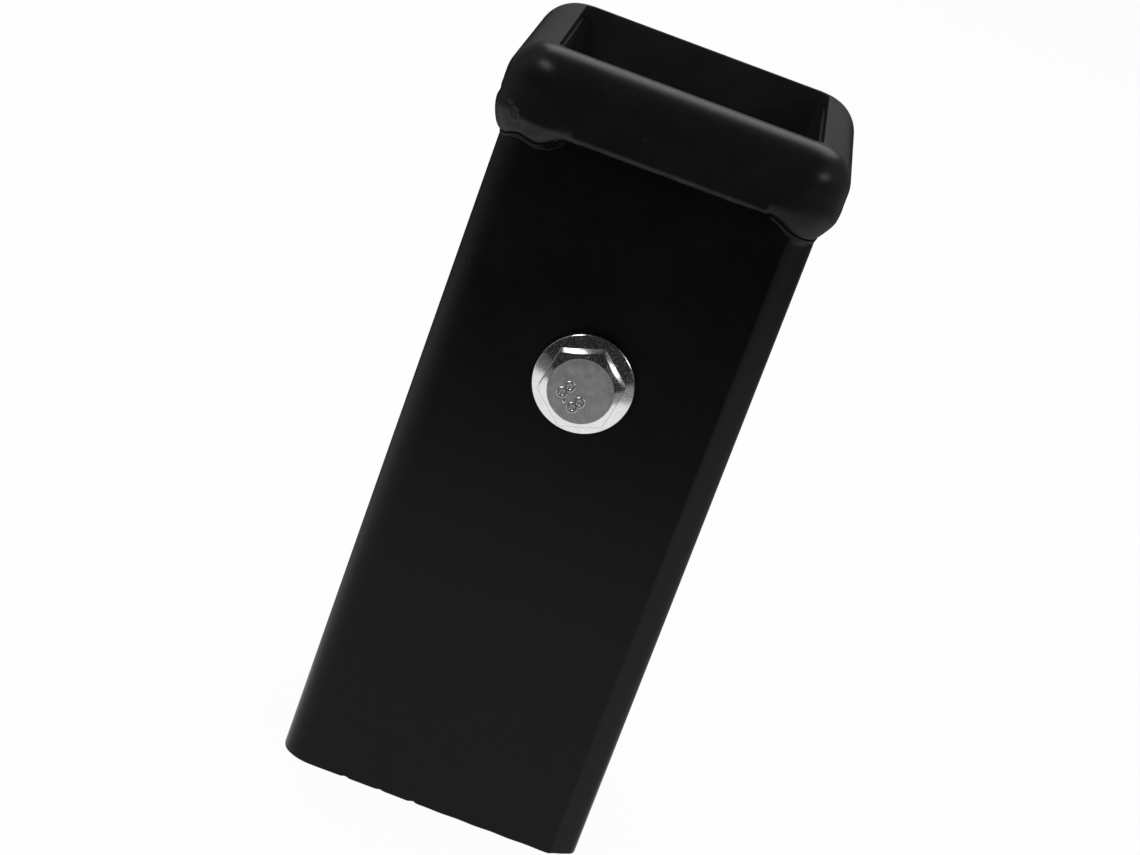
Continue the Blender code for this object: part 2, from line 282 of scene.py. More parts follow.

# Zinc of the bolt and nut: its darkest and palest colour, also on the head's matte disc, and the greys of
# the painted shade line along the flats and of the marks' painted shaded tops, which are mixed in by a share
ZINC_COLOURS = ((0.74, 0.745, 0.75), 0.84)
DISC_COLOURS = ((0.33, 0.33, 0.335), 0.66)
SHADE_LINE_GREY = 0.16
SHADED_TOP_GREY = 0.12
SHADED_TOP_SHARE = 0.6
GRAIN_NOISE = (0.35, 0.65)
GRAIN_SHARE = 0.6

# Where the disc, the flats, the painted shade line and the marks' tops are
DISC_EDGE = (0.492 * HEX_TOP, 0.50 * HEX_TOP)
FACE_DEPTH = 0.05 * MM
FLATS_OFFSET = 0.02 * MM
FLATS_EDGE = (0.05 * MM, 0.11 * MM)
SHADE_LINE_WIDTH = 0.12 * MM
MARK_TOP = 0.80

# Roughness of the zinc and of the disc, how much rougher crystals, the marks' sides and the flats are, and
# heights of the relief
ZINC_ROUGHNESS = (0.11, 0.19)
DISC_ROUGHNESS = (0.40, 0.55)
CRYSTAL_ROUGHER = 0.35
SIDE_ROUGHER = 0.2
FLATS_ROUGHER = 0.15
GRAIN_HEIGHT = 0.0012 * MM
CRYSTAL_HEIGHT = 0.004 * MM
DISC_HEIGHT = 0.006 * MM

# Floor: its reach, its grey, how far it is lifted to white for the camera, and the painted pool of light that
# shiny things mirror, with its oval edge, its painted shadow behind the object, and a painted flank of light
# at each side
FLOOR_REACH = 6.0
FLOOR_GREY = 0.85
FLOOR_LIFT = 0.96
POOL_LEVEL = 0.95
POOL_EDGE = (0.19, 0.34)
POOL_SQUEEZE = 0.58
POOL_TURN = (-0.1, 0.95)
POOL_SHADOW = 0.05
FLANK_RIGHT = 0.40
FLANK_RIGHT_TURN = (0.42, 0.68)
FLANK_LEFT = 0.30
FLANK_LEFT_TURN = (-0.45, -0.95)
FLANK_EDGE = (0.2, 0.6)
FLANK_FAR = 0.65

# Room: its brightness ahead of the object and behind it, the directions between, and its light on matte
# things
ROOM_AHEAD = 0.02
ROOM_BEHIND = 0.19
ROOM_TURN = (-0.3, 0.15)
ROOM_AMBIENT = 0.3

# Soft boxes: the height that they face, and then direction from the object, distance, width, height and
# brightness, where 1 is white
LIT_HEIGHT = 0.6 * MOUTH
SOFT_BOXES = [
    ("soft_box_behind", (0.06, 0.62, 0.78), 1.20, 1.10, 0.68, 2.7),
    ("soft_box_left", (-1.0, 0.05, 0.62), 1.45, 0.95, 1.50, 0.26),
    ("soft_box_right", (1.0, 0.05, 0.62), 1.45, 0.95, 1.50, 0.20),
    ("lamp_left", (-0.50, -0.33, 0.80), 1.00, 0.40, 0.18, 9.0),
    ("lamp_right", (0.74, -0.42, 0.53), 1.00, 0.34, 0.16, 8.0),
]

# The photograph's camera: width and focal length in pixels, sensor, place in mm from the foot of the tube's
# axis, and directions
PHOTO_WIDTH = 1140
SENSOR_WIDTH = 36
FOCAL_PIXELS = 2807.3
CAMERA_PLACE = (1.33, -549.53, 252.80)
CAMERA_RIGHT = (0.93679, 0.10806, 0.33280)
CAMERA_UP = (-0.34990, 0.28536, 0.89227)


def unit(vectors, axis):
    """Vectors divided by their own length along an axis."""
    return vectors / np.linalg.norm(vectors, axis=axis, keepdims=True)


def smooth(x):
    """Smooth step from 0 to 1: 3x squared less 2x cubed."""
    x = np.clip(x, 0, 1)
    return x * x * (3 - 2 * x)


def hump(x, centre, width):
    """Bell curve of height 1: e to the minus half of the squared distance in widths."""
    return np.exp(-0.5 * ((x - centre) / width) ** 2)


def full_turn(columns):
    """Equal angles round a circle, one for each column."""
    return np.linspace(0, 2 * math.pi, columns, endpoint=False)


def through(x, places, values):
    """A cubic line through the given values, whose slope at each place is the mean slope round it."""
    places, values = np.array(places, float), np.array(values, float)
    slopes = np.gradient(values, places)
    x = np.clip(x, places[0], places[-1])
    i = np.clip(np.searchsorted(places, x) - 1, 0, len(places) - 2)
    gap = places[i + 1] - places[i]
    t = (x - places[i]) / gap
    rise = (3 - 2 * t) * t * t
    lean = t * (1 - t) ** 2 * slopes[i] - t * t * (1 - t) * slopes[i + 1]
    return values[i] + (values[i + 1] - values[i]) * rise + lean * gap


def rounded_section(corners, radii, closed):
    """A section's points, as (row, out and height, column), with an arc at each corner. The arc of radius r
    touches both sides at r over the tangent of half the angle between them, and turns about a point that far
    from each. One more point beyond each end of an arc keeps the flats between them flat."""
    columns = max(np.size(value) for pair in corners for value in pair)
    points = np.array([[np.broadcast_to(value, columns) for value in pair] for pair in corners], float)
    inner = points if closed else points[1:-1]
    towards = unit(np.roll(points, 1, 0) - points, 1)
    onwards = unit(np.roll(points, -1, 0) - points, 1)
    if not closed:
        towards, onwards = towards[1:-1], onwards[1:-1]
    half = np.arccos(np.clip((towards * onwards).sum(1), -STRAIGHT, STRAIGHT))[:, None] / 2
    radius = np.array(radii, float)[:, None, None]
    start = towards * radius / np.tan(half)
    end = onwards * radius / np.tan(half)
    centre = unit(towards + onwards, 1) * radius / np.sin(half)
    sweep = math.pi - 2 * half
    share = np.linspace(0, 1, ARC_STEPS + 1)[None, :, None, None]
    sweep, start_arm, end_arm = sweep[:, None], (start - centre)[:, None], (end - centre)[:, None]
    arc = np.sin((1 - share) * sweep) * start_arm + np.sin(share * sweep) * end_arm
    arc = centre[:, None] + arc / np.sin(sweep)
    rows = [BEYOND_ARC * start[:, None], arc, BEYOND_ARC * end[:, None]]
    rows = (np.concatenate(rows, axis=1) + inner[:, None]).reshape(-1, 2, columns)
    return rows if closed else np.concatenate([points[:1], rows, points[-1:]])


def square_path(straight_shares, corner_steps):
    """Stations round a unit square, counter-clockwise from above: the seat on the square and the outward unit
    vector. Each quarter runs from the middle of one side, along it by the shares given, round the corner by
    equal angles, and to the middle of the next side."""
    shares = np.array(straight_shares)
    angles = np.linspace(0, math.pi / 2, corner_steps + 1)
    before = np.stack([np.ones_like(shares), shares, np.zeros_like(shares)], 1)
    turn = np.stack([np.ones_like(angles), np.ones_like(angles), angles], 1)
    after = np.stack([shares[:0:-1], np.ones_like(shares[1:]), np.full_like(shares[1:], math.pi / 2)], 1)
    quarter = np.concatenate([before, turn, after])
    seats, outwards = [], []
    for step in range(4):
        spin = step * math.pi / 2
        c, s = math.cos(spin), math.sin(spin)
        seats.append(quarter[:, :2] @ np.array([[c, s], [-s, c]]))
        angle = quarter[:, 2] + spin
        outwards.append(np.stack([np.cos(angle), np.sin(angle)], 1))
    return np.concatenate(seats), np.concatenate(outwards)


def carried_round(path, half, centre, height):
    """Points of a section carried round the square: the seat times the distance of the corner's centre, plus
    the outward vector times the rest of the half width. Rows are the section, columns the stations."""
    seat, outward = path
    flat = centre[..., None] * seat + (half - centre)[..., None] * outward
    return np.concatenate([flat, height[..., None]], axis=-1)


def ring_faces(rows, columns, closed):
    """Quads of a grid whose columns close into a ring, and whose rows close as well if asked."""
    last = rows if closed else rows - 1
    i, j = np.meshgrid(np.arange(last), np.arange(columns), indexing="ij")
    below, beside = (i + 1) % rows, (j + 1) % columns
    corners = [i * columns + j, i * columns + beside, below * columns + beside, below * columns + j]
    return np.stack(corners, -1).reshape(-1, 4)


def new_object(name, data):
    """An object in the scene, with a mesh, a lamp or a camera as its data."""
    made = bpy.data.objects.new(name, data)
    bpy.context.collection.objects.link(made)
    return made


def add_piece(name, surfaces, material, replaced):
    """One mesh from closed surfaces, each a grid of points (row, column, 3) with rows closed or ending in
    a point. Each surface is turned outwards by the sign of its volume: the sum of face areas times the
    height of their planes over the origin."""
    all_points, all_faces, start = [], [], 0
    for grid, closed in surfaces:
        points = grid.reshape(-1, 3)
        faces = ring_faces(*grid.shape[:2], closed)
        corner = points[faces]
        areas = np.cross(corner[:, 2] - corner[:, 0], corner[:, 3] - corner[:, 1])
        if np.einsum("ij,ij->", areas, corner.mean(1)) < 0:
            faces = faces[:, ::-1]
        all_points.append(points + np.array([0, AXIS_Y, 0]))
        all_faces.append(faces + start)
        start += len(points)
    mesh = bpy.data.meshes.new(name)
    mesh.from_pydata(np.concatenate(all_points), [], np.concatenate(all_faces))
    piece = new_object(name, mesh)
    mesh.materials.append(material)
    close_poles(mesh)
    mesh.shade_smooth()
    mesh.set_sharp_from_angle(angle=SHARP_EDGE)
    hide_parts(*replaced)
    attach(piece, "root")
    return piece


def close_poles(mesh):
    """Merge the points of rows that end in one point, so that poles close."""
    bm = bmesh.new()
    bm.from_mesh(mesh)
    bmesh.ops.remove_doubles(bm, verts=bm.verts, dist=MERGE_DISTANCE)
    bm.to_mesh(mesh)
    bm.free()


def cut_cross_hole(piece):
    """Cut the bolt's cross hole through the tube with a turned bar."""
    bar = bpy.data.meshes.new("cross_hole")
    angle = full_turn(ROUND_COLUMNS)
    reach = np.array([-1, -1, 1, 1])[:, None] * 2 * TUBE_HALF
    radius = np.array([0, HOLE_RADIUS, HOLE_RADIUS, 0])[:, None]
    x, z = radius * np.cos(angle), BOLT_HEIGHT + radius * np.sin(angle)
    grid = np.stack([x, reach + AXIS_Y + 0 * angle, z], -1)
    bar.from_pydata(grid.reshape(-1, 3), [], ring_faces(*grid.shape[:2], False))
    close_poles(bar)
    cutter = new_object("cross_hole", bar)
    cut = piece.modifiers.new("cross hole", "BOOLEAN")
    cut.object, cut.operation, cut.solver = cutter, "DIFFERENCE", "EXACT"
    bpy.context.view_layer.update()
    made = bpy.data.meshes.new_from_object(piece.evaluated_get(bpy.context.evaluated_depsgraph_get()))
    piece.modifiers.clear()
    piece.data = made
    bpy.data.objects.remove(cutter)
    made.set_sharp_from_angle(angle=SHARP_EDGE)


def crease_growth(outward):
    """How far the tube's front right corner stands out from its quarter circle, or in from it: the front
    face goes on to a crease, then a flat turns away and rounds softly into the side. Power means of how
    far each face turns to the direction ease the crease sharply and the rounding softly."""
    aside, ahead = np.clip(outward[:, 0], 0, 1), np.clip(-outward[:, 1], 0, 1)
    start = 1 - CREASE_START / TUBE_CORNER
    reach = math.cos(CREASE_TURN) + start * math.sin(CREASE_TURN)
    flat = (aside * math.sin(CREASE_TURN) + ahead * math.cos(CREASE_TURN)) / reach
    near = ahead**CREASE_EASING + flat**CREASE_EASING
    total = near ** (SIDE_EASING / CREASE_EASING) + aside**SIDE_EASING
    growth = TUBE_CORNER * (np.maximum(total, LEAST) ** (-1 / SIDE_EASING) - 1)
    return np.where((aside > 0) & (ahead > 0), growth, 0)


def tube_section():
    """Out and height round the tube's wall, with more rows up both sides of it where the crease fades."""
    top = LIP_UNDERSIDE - PAINTED_SEAM
    corners = [(TUBE_HALF, 0), (TUBE_HALF, top), (BORE_HALF, top), (BORE_HALF, 0)]
    section = rounded_section(corners, TUBE_EASES, closed=True)
    fade_up = np.linspace(CREASE_TOP - CREASE_FADE, CREASE_TOP, ARC_STEPS + 1)
    rising = np.stack([np.full(len(fade_up), TUBE_HALF), fade_up], 1)[..., None]
    falling = np.stack([np.full(len(fade_up), BORE_HALF), fade_up[::-1]], 1)[..., None]
    foot, ends, back = np.split(section, [len(section) // 4, 3 * len(section) // 4])
    section = np.concatenate([foot, rising, ends, falling, back])
    return section[:, 0], section[:, 1]


def add_receiver_tube(material):
    """The tube: its section carried round the square, with a crease at one corner. Paint closes the seam
    under the collar's lip, and the bore's back wall is carried out to the lip's own. The sawn end rises a
    little by two crossed sine waves, with small nicks along the front, and the rise dies out by a smooth
    step up the wall."""
    half, height = tube_section()
    outside = np.arange(len(half))[:, None] < len(half) / 2
    centre = np.where(outside, TUBE_CENTRE, BORE_HALF - BORE_CORNER)
    path = square_path(TUBE_SHARES, CORNER_STEPS)
    shape = (len(half), len(path[0]))
    half, height, centre = (np.broadcast_to(value, shape) for value in (half, height, centre))
    grid = carried_round(path, half, centre, height)
    grid[..., 1] += np.where(outside, 0, LIP_SETBACK) * np.clip(grid[..., 1] / BORE_HALF, 0, 1)
    creased = np.where(outside, crease_growth(path[1]) * smooth((CREASE_TOP - height) / CREASE_FADE), 0)
    grid[..., :2] += creased[..., None] * path[1]
    x, y = grid[..., 0] / MM, grid[..., 1] / MM
    saw = SAW_RISE * (2 + np.sin(0.9 * x + 1.3 * np.sin(0.35 * y)) + np.sin(2.3 * y + 0.8 * x))
    at_front = y < -FRONT_SHARE * TUBE_HALF / MM
    for place, depth in FOOT_NICKS:
        saw = saw + depth * hump(x, place, NICK_WIDTH) * at_front
    grid[..., 2] += saw * MM * (1 - smooth(height / FOOT_FADE))
    piece = add_piece("tube_wall", [(grid, True)], material, ["receiver_tube"])
    cut_cross_hole(piece)


def lip_and_rim(low_ease):
    """Out and height from the lip's lower edge to the end of the quarter-round, with the lower edge's own
    rounding at each column."""
    turn = np.linspace(0, math.pi / 2, LIP_STEPS + 1)[:, None]
    low_out = OPENING_HALF + low_ease * (1 - np.sin(turn))
    low_up = LIP_UNDERSIDE + low_ease * (1 - np.cos(turn))
    edge_out = OPENING_HALF + LIP_EASE * (1 - np.cos(turn)) + 0 * low_ease
    edge_up = MOUTH - LIP_EASE * (1 - np.sin(turn)) + 0 * low_ease
    wall_out = np.full((2, len(low_ease)), OPENING_HALF)
    wall_up = np.stack([LIP_UNDERSIDE + BEYOND_LIP * low_ease, MOUTH - BEYOND_LIP * LIP_EASE + 0 * low_ease])
    first = BEYOND_ARC * math.asin(LIP_EASE / RIM_RADIUS)
    round_off = np.linspace(first, math.pi / 2, RIM_STEPS + 1)[:, None] + 0 * low_ease
    rim_out = OPENING_HALF + RIM_RADIUS * np.sin(round_off)
    rim_up = MOUTH - RIM_RADIUS * (1 - np.cos(round_off))
    out = np.concatenate([low_out, wall_out, edge_out, rim_out])
    return out, np.concatenate([low_up, wall_up, edge_up, rim_up])


def plain_edge(rows):
    """Out and above for the collar's lower edge where it isn't welded: down the face, round a quarter circle
    and in along the underside, at equal steps of length."""
    edge, face, bore = COLLAR_EDGE / MM, COLLAR_HALF / MM, SKIRT_BORE / MM
    turn = np.linspace(0, math.pi / 2, EDGE_POINTS)
    out = np.concatenate([[face, face], face - edge * (1 - np.cos(turn)), [bore + 0.12]])
    above = np.concatenate([[BEAD_TOP, edge + 0.4], edge * (1 - np.sin(turn)), [0]])
    length = np.concatenate([[0], np.cumsum(np.hypot(np.diff(out), np.diff(above)))])
    share = np.linspace(0, length[-1], rows)
    return np.interp(share, length, out)[:, None], np.interp(share, length, above)[:, None]


def bead_crown(rows, toe, shoulder, belly):
    """Out and above for a bead's crown: a cubic curve from the collar's face, out over its shoulder, and down
    and in past its belly to the toe on the tube's wall. The shoulder is lower where the toe is short."""
    t = np.linspace(0, 1, rows)[:, None]
    face, wall = COLLAR_HALF / MM, TUBE_HALF / MM + TOE_LIFT
    outs = [face, face + shoulder[0], face + belly[0], wall]
    aboves = [BEAD_TOP, shoulder[1] * np.minimum(1, toe / FULL_TOE), -belly[1] * toe, -toe]
    weights = [(1 - t) ** 3, 3 * t * (1 - t) ** 2, 3 * t * t * (1 - t), t**3]
    return sum(w * o for w, o in zip(weights, outs)), sum(w * a for w, a in zip(weights, aboves))


def bead_relief(along, above, lumps, craters):
    """Height of the lumps on a bead: bell curves in distance along it and height over the collar's edge, ring
    ridges with a dip inside, and fine ripples across the run."""
    relief = RIPPLE_RISE * np.sin(4.6 * along + 1.2 * above) * np.sin(1.9 * above - 0.7 * along + 0.6)
    for place, height, length, width, rise in lumps:
        relief = relief + rise * hump(along, place, length) * hump(above, height, width)
    for place, height, radius, rise in craters:
        reach = np.hypot(along - place, above - height)
        ring = hump(reach, radius, RING_WIDTH) - RING_DIP * hump(reach, 0, 0.6 * radius)
        relief = relief + rise * ring
    return relief


def bead_toe(along, toe, crest):
    """Out and above from a bead's toe to the end of its paint: over a notch at the toe, down a slope of
    paint that thins towards its edge, or down a rough pit where the slope is long, round the edge, and in
    through the wall."""
    wall = TUBE_HALF / MM
    near, far = toe + NOTCH_DEPTH, np.maximum(crest - 0.2, toe + 0.4)
    share = np.linspace(0, 1, SLOPE_ROWS)[:, None]
    slope_up = near + (far - near) * share
    pit = smooth((far - near - PIT_LENGTH[0]) / (PIT_LENGTH[1] - PIT_LENGTH[0]))
    rough = PIT_ROUGHNESS * np.sin(5.2 * along) * np.sin(6.1 * slope_up + 2.0 * along) * pit
    slope = PAINT_SLOPE * (1 - pit) * (1 - 0.55 * share**1.5)
    slope_out = wall + PAINT_COAT + slope + rough * np.sin(math.pi * share)
    slope_out[0] = wall + 1.5 * PAINT_COAT
    slope_up[0] = toe + NOTCH_DEPTH / 2
    turn = np.linspace(0, math.pi / 2, EDGE_ROWS)[1:, None]
    edge_up = far + EDGE_DEPTH * np.sin(turn)
    edge_out = wall - 0.08 + (slope_out[-1] - wall + 0.08) * np.cos(turn)
    end = np.array([wall - 0.3, wall - 0.3, wall - 0.05, SKIRT_BORE / MM])[:, None] + 0 * along
    end_up = np.stack([crest + 0.5, 0 * crest - 0.5, 0 * crest - 2.5, 0 * crest - 4.0])
    out = np.concatenate([slope_out, edge_out + 0 * along, end])
    return out, -np.concatenate([slope_up, edge_up, end_up])


def round_the_corner(shares):
    """Distance in mm along the collar's edge from the middle of a corner, at the stations of one quarter."""
    arc = (COLLAR_HALF - COLLAR_CENTRE) * math.pi / 4
    before = -arc - (1 - shares) * COLLAR_CENTRE
    return np.concatenate([before, np.linspace(-arc, arc, CORNER_STEPS + 1), -before[:0:-1]]) / MM


def facing(outward):
    """Share from 0 to 1 by which a column faces along a direction, by a smooth step."""
    return smooth((outward - FACING_TURN[0]) / (FACING_TURN[1] - FACING_TURN[0]))


def beaded_edge(along, outward):
    """Out and height of the collar's lower edge with its beads, in mm from the edge. Each column is the
    plain edge mixed with the bead's crown, by a share that rises over the bead's ends, plus the bead's
    relief along a direction that turns from outwards to downwards."""
    plain_out, plain_up = plain_edge(CROWN_ROWS)
    lean = np.linspace(0, BEAD_LEAN, CROWN_ROWS)[:, None]
    under_up = np.linspace(0.02, 4.0, SLOPE_ROWS + EDGE_ROWS + 3)[:, None]
    under_out = SKIRT_BORE / MM + PAINT_COAT * (1 - smooth(under_up / 0.3))
    flat_out = np.concatenate([plain_out, under_out])
    flat_up = np.concatenate([plain_up, under_up])
    count = len(along)
    sag = facing(-outward[:, 1]) * np.interp(np.arange(4 * count), [2.5 * count, 3.5 * count], EDGE_SAG)
    outs, ups = [], []
    for bead, sagging in zip(CORNER_BEADS, np.split(sag, 4)):
        toe, crest = (through(along, bead["places"], bead[key]) for key in ("toes", "crests"))
        first, last = bead["places"][0], bead["places"][-1]
        blend = smooth((along - first) / BEAD_END) * smooth((last - along) / BEAD_END)
        out, up = bead_crown(CROWN_ROWS, toe, bead["shoulder"], bead["belly"])
        relief = bead_relief(along, up, bead["lumps"], bead["craters"]) * smooth((BEAD_TOP - up) / BEAD_FADE)
        toe_out, toe_up = bead_toe(along, toe, crest)
        out = np.concatenate([out + relief * np.cos(lean), toe_out])
        up = np.concatenate([up - relief * np.sin(lean), toe_up])
        low_up = flat_up - sagging * smooth(1 - flat_up / BEAD_TOP)
        outs.append(flat_out + (out - flat_out) * blend)
        ups.append(low_up + (up - low_up) * blend)
    return np.concatenate(outs, 1), np.concatenate(ups, 1)


def add_collar_with_beads(material):
    """The collar and its four beads as one painted surface: lip, rim, face, lower edge and beads, and back up
    inside the skirt, carried round the square."""
    path = square_path(COLLAR_SHARES, CORNER_STEPS)
    columns = len(path[0])
    out, up = beaded_edge(round_the_corner(COLLAR_SHARES), path[1])
    rim_out, rim_up = lip_and_rim(LIP_EASE + (SEAM_EASE - LIP_EASE) * facing(path[1][:, 1]))
    face_up = np.linspace(MOUTH - RIM_RADIUS, COLLAR_BOTTOM + BEAD_TOP * MM, FACE_ROWS + 2)[1:-1]
    face_up = np.broadcast_to(face_up[:, None], (len(face_up), columns))
    inside_out = np.broadcast_to([[SKIRT_BORE], [SKIRT_BORE], [SKIRT_BORE - 0.2 * MM]], (3, columns))
    inside_up = np.broadcast_to([[LIP_UNDERSIDE - 0.2 * MM], [LIP_UNDERSIDE], [LIP_UNDERSIDE]], (3, columns))
    half = np.concatenate([rim_out, np.full_like(face_up, COLLAR_HALF), out * MM, inside_out])
    height = np.concatenate([rim_up, face_up, COLLAR_BOTTOM + up * MM, inside_up])
    centre = np.interp(half, [SKIRT_BORE, COLLAR_HALF], [TUBE_CENTRE, COLLAR_CENTRE])
    centre[: len(rim_out)] = COLLAR_CENTRE
    grid = carried_round(path, half, centre, height)
    grid[..., 0] = np.clip(grid[..., 0], cad_bounds[0].x, cad_bounds[1].x)
    nodes = ["mouth_collar"] + [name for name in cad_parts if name.startswith("weld_bead")]
    add_piece("collar_and_welds", [(grid, True)], material, nodes)


def hexagon_radius(angle, turn):
    """Radius of a hexagon with eased corners: one over the power mean of how each flat faces the angle."""
    flats = turn + math.radians(30) + np.arange(6)[:, None] * math.radians(60)
    turned = np.clip(np.cos(angle - flats), 0, 1) ** HEX_EASING
    return HEX_FLATS / 2 / turned.sum(0) ** (1 / HEX_EASING)


def about_bolt(section, angle, side):
    """Points of a section turned about the bolt's axis: out by the cosine and sine of the angle across X and
    Z, and its height away from the tube's front (side -1) or back (side 1)."""
    out, height = section[:, 0], section[:, 1]
    x, z = out * np.cos(angle), BOLT_HEIGHT + out * np.sin(angle)
    return np.stack([x, np.broadcast_to(side * (HEAD_SEAT + height), x.shape), z], -1)


def flange_and_hexagon(angle, turn, top):
    """Corners of a flange with a hexagon on it, from the hexagon's chamfer down to the seat."""
    hexagon = hexagon_radius(angle, turn)
    chamfer = top - (hexagon - HEX_TOP / 2) * math.tan(CHAMFER_SLOPE)
    root = FLANGE_EDGE + (FLANGE_RADIUS - hexagon) * math.tan(FLANGE_SLOPE)
    flange = [(FLANGE_RADIUS, FLANGE_EDGE), (FLANGE_RADIUS, 0)]
    return [(HEX_TOP / 2, top), (hexagon, chamfer), (hexagon, root)] + flange


def threaded_shank():
    """The shank, threaded over its last stretch: the radius falls into a groove by a triangle wave of the
    height less the turn, in pitches, and is limited by the tip's cone."""
    angle = full_turn(ROUND_COLUMNS)
    thread_start = THREAD_RUN - SHANK_LENGTH
    plain = np.linspace(FLANGE_EDGE / 2, thread_start, PLAIN_ROWS + 1)[:-1]
    thread = np.linspace(thread_start, -SHANK_LENGTH, int(THREAD_RUN / THREAD_PITCH * THREAD_ROWS))
    height = np.concatenate([plain, thread])[:, None]
    phase = (height / THREAD_PITCH - angle / (2 * math.pi)) % 1
    groove = np.clip(GROOVE_SHAPE[0] * np.abs(2 * phase - 1) - GROOVE_SHAPE[1], 0, 1)
    groove = groove * smooth((thread_start - height) / THREAD_PITCH)
    radius = SHANK_RADIUS - THREAD_DEPTH * groove
    radius = np.minimum(radius, SHANK_RADIUS - TIP_CHAMFER + (height + SHANK_LENGTH))
    radius = np.concatenate([0 * radius[:1], radius, 0 * radius[:1]])
    height = np.concatenate([height[:1], height, height[-1:]])
    section = np.stack([radius, np.broadcast_to(height, radius.shape)], 1)
    return about_bolt(section, angle, -1)


def raised_ring(place, radius):
    """A ring on the head's face: a stroke with a flat top and sloping sides, carried round a circle. Over
    the face its height is its rise times a smooth step of the distance in from its edge, and it closes
    under it."""
    turn = full_turn(MARK_COLUMNS)[:, None]
    wide = np.linspace(1, -1, STROKE_ROWS)
    tall = np.append(smooth((1 - np.abs(wide)) / MARK_SIDES), [-0.3, -0.3])
    wide = np.append(wide, [-0.5, 0.5])
    out = radius + MARK_STROKE * wide
    x = place[0] * MM + out * np.cos(turn)
    z = BOLT_HEIGHT + place[1] * MM + out * np.sin(turn)
    y = DISC_FACE - RING_HEIGHT * tall + 0 * turn
    return np.stack([x, y, z], -1)


def raised_dot(place):
    """A half-sunk ball on the head's face, from pole to pole."""
    turn = full_turn(DOT_COLUMNS)
    down = np.linspace(0, math.pi, DOT_ROWS)[:, None]
    x = place[0] * MM + DOT_RADIUS * np.sin(down) * np.cos(turn)
    z = BOLT_HEIGHT + place[1] * MM + DOT_RADIUS * np.sin(down) * np.sin(turn)
    y = DISC_FACE - DOT_HEIGHT * np.cos(down) + 0 * turn
    return np.stack([x, y, z], -1)


def add_flange_bolt(material):
    """The bolt: its head's section turned about the axis with the hexagon's radius, the threaded shank, and
    the raised strength class."""
    angle = full_turn(HEX_COLUMNS)
    face = HEAD_HEIGHT - MARK_RISE
    corners = [(0, face)] + flange_and_hexagon(angle, HEAD_TURN, face) + [(0, 0)]
    section = rounded_section(corners, HEAD_EASES, closed=False)
    disc_out = np.linspace(0, 0.95, DISC_ROWS)[:, None] * HEX_TOP / 2 + 0 * angle
    disc = np.stack([disc_out, np.full_like(disc_out, face)], 1)
    section = np.concatenate([disc[:-1], section[1:]])
    surfaces = [(about_bolt(section, angle, -1), False), (threaded_shank(), False)]
    surfaces += [(raised_ring(place, MARK_LOOP), True) for place in MARK_LOOPS]
    surfaces += [(raised_dot(MARK_DOT), False)]
    add_piece("bolt", surfaces, material, ["flange_bolt"])


def add_flange_nut(material):
    """The nut: the same flange and hexagon turned about the axis, with a bore that opens at both ends."""
    angle = full_turn(HEX_COLUMNS)
    bore, wide = SHANK_RADIUS + NUT_PLAY, SHANK_RADIUS + NUT_PLAY + NUT_LEAD
    corners = flange_and_hexagon(angle, -NUT_TURN, NUT_HEIGHT)
    corners += [(wide, 0), (bore, NUT_LEAD), (bore, NUT_HEIGHT - NUT_LEAD), (wide, NUT_HEIGHT)]
    section = rounded_section(corners, HEAD_EASES + BORE_EASES, closed=True)
    add_piece("nut", [(about_bolt(section, angle, 1), True)], material, ["flange_nut"])


class NodeSheet:
    """A short way to place nodes in a tree: inputs that are sockets are linked, others are set."""

    def __init__(self, tree):
        self.tree = tree
        self.placed = 0

    def add(self, kind, inputs=None, **settings):
        node = self.tree.nodes.new(kind)
        node.location = (200 * (self.placed % 8), -260 * (self.placed // 8))
        self.placed += 1
        for key, value in settings.items():
            setattr(node, key, value)
        for key, value in (inputs or {}).items():
            if isinstance(value, bpy.types.NodeSocket):
                self.tree.links.new(value, node.inputs[key])
            else:
                node.inputs[key].default_value = value
        return node

    def group(self, tree, inputs):
        """The first output of a placed node group."""
        return self.add("ShaderNodeGroup", inputs, node_tree=tree).outputs[0]

    def parts(self, vector):
        """The X, Y and Z of a vector."""
        return tuple(self.add("ShaderNodeSeparateXYZ", {"Vector": vector}).outputs)

    def math(self, operation, first, second=0.0, third=0.0):
        return self.add("ShaderNodeMath", {0: first, 1: second, 2: third}, operation=operation).outputs[0]

    def times(self, first, second):
        return self.math("MULTIPLY", first, second)

    def plus(self, first, second):
        return self.math("ADD", first, second)

    def less(self, first, second):
        return self.math("SUBTRACT", first, second)

    def larger(self, first, second):
        return self.math("MAXIMUM", first, second)

    def apart(self, first, second):
        """How far two values are from each other."""
        return self.math("ABSOLUTE", self.less(first, second))

    def more(self, value, share, weight):
        """The value plus a weighted share."""
        return self.math("MULTIPLY_ADD", share, weight, value)

    def distance(self, first, second):
        """The root of the sum of two squares."""
        squares = self.math("MULTIPLY_ADD", first, first, self.times(second, second))
        return self.math("SQRT", squares)

    def spread(self, value, low, high, new_low, new_high, shape="LINEAR"):
        """The value carried from one range to another, clamped."""
        inputs = {"Value": value, "From Min": low, "From Max": high, "To Min": new_low, "To Max": new_high}
        return self.add("ShaderNodeMapRange", inputs, interpolation_type=shape).outputs["Result"]

    def step(self, value, *ranges):
        """The same with a smooth step."""
        return self.spread(value, *ranges, shape="SMOOTHSTEP")

    def noise(self, vector, per_metre, detail, roughness=0.5):
        inputs = {"Vector": vector, "Scale": per_metre, "Detail": detail, "Roughness": roughness}
        return self.add("ShaderNodeTexNoise", inputs).outputs["Fac"]

    def bump(self, height, shader):
        """A relief, given as a height in metres, on the shader's normal."""
        node = self.add("ShaderNodeBump", {"Strength": 1.0, "Distance": 1.0, "Height": height})
        self.tree.links.new(node.outputs["Normal"], shader.inputs["Normal"])


